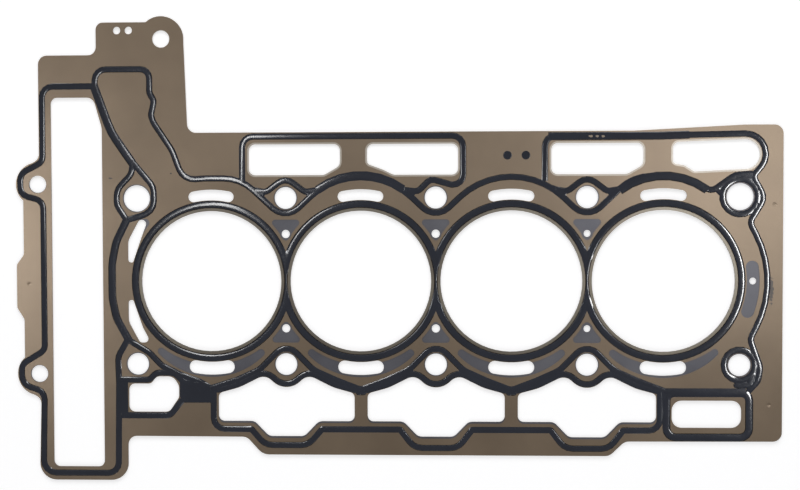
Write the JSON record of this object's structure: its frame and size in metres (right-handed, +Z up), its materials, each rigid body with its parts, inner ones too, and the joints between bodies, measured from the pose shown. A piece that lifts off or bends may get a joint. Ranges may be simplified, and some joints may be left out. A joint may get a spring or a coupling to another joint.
{
  "type": "cylinder head gasket",
  "caption": "Multi-layer steel head gasket of an inline engine, with stopper rings, raised sealing beads, coolant slots, oil windows and a chain case opening.",
  "frame": {"origin": "centre of the head bolt pattern, midway between the second and third cylinders, at the crest of the underside beads", "axes": "+X along the engine away from the chain case, +Y towards the edge with the four windows, +Z up towards the cylinder head"},
  "size_m": [0.4282, 0.2611, 0.0013],
  "materials": {
    "sheet_steel": "satin, lightly coated",
    "carrier_steel": "satin, dark",
    "stopper_steel": "satin, bare",
    "seal_coating": "semi-gloss"
  },
  "bodies": {
    "root": {"bottom_layer": "sheet_steel", "carrier_layer": "carrier_steel", "stopper_ring_1": "stopper_steel", "stopper_ring_2": "stopper_steel", "stopper_ring_3": "stopper_steel", "stopper_ring_4": "stopper_steel", "top_layer": "sheet_steel", "upper_bore_seal": "seal_coating", "upper_liquid_seal": "seal_coating", "lower_bore_seal": "seal_coating", "lower_liquid_seal": "seal_coating", "marking_dots": "seal_coating"}
  },
  "joints": []
}
